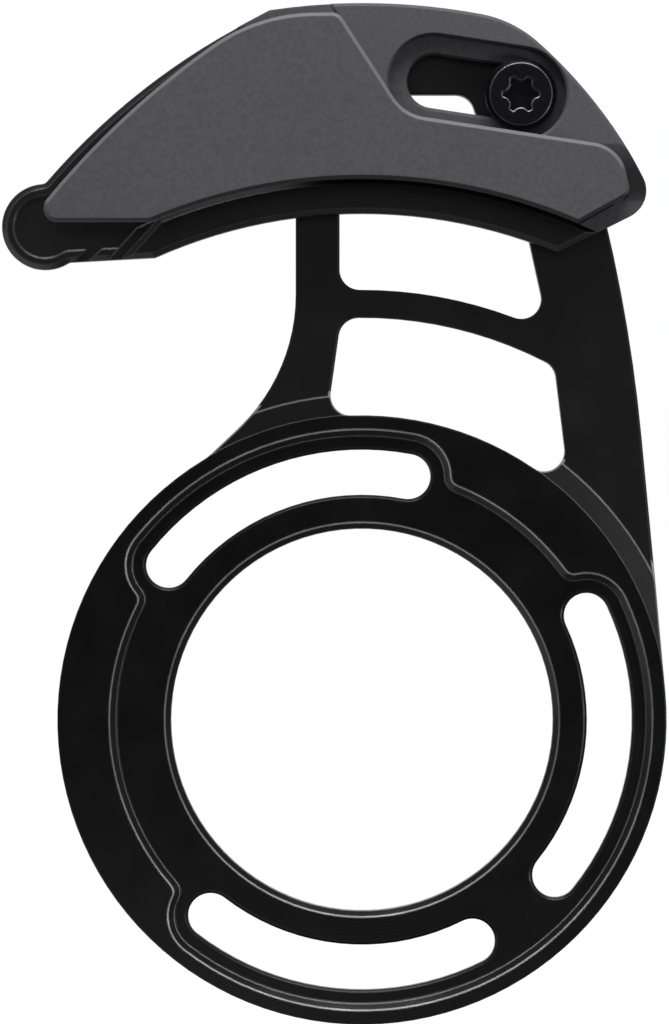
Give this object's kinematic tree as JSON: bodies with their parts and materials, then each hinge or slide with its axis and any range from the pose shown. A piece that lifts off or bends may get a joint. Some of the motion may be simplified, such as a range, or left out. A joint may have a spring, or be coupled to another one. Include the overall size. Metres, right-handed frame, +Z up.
{
  "type": "bicycle chain guide",
  "caption": "Bicycle chain guide: a slotted ring plate with an open arm that carries a sliding two-piece cage, which keeps the chain on the top of the chainring.",
  "frame": {"origin": "centre of the bore on the ring's back face, which lies on the frame", "axes": "+Y along the bore towards the frame, +Z up the arm to the cage, +X towards the clamp screw's side"},
  "size_m": [0.0793, 0.0208, 0.1217],
  "materials": {
    "black_anodised": "machined and black anodised, satin",
    "black_resin": "moulded, satin",
    "grey_resin": "moulded with a fine grain",
    "black_steel": "black oxide"
  },
  "bodies": {
    "plate": {"backplate": "black_anodised", "clamp_screw": "black_steel"},
    "cage": {"inner_guide": "black_resin", "outer_guide": "grey_resin", "joining_screws": "black_steel"}
  },
  "joints": [
    {"name": "cage_slide", "type": "slide", "parent": "plate", "child": "cage", "axis": [0.9888, 0, -0.1495], "range_m": [0, 0.0105]}
  ]
}
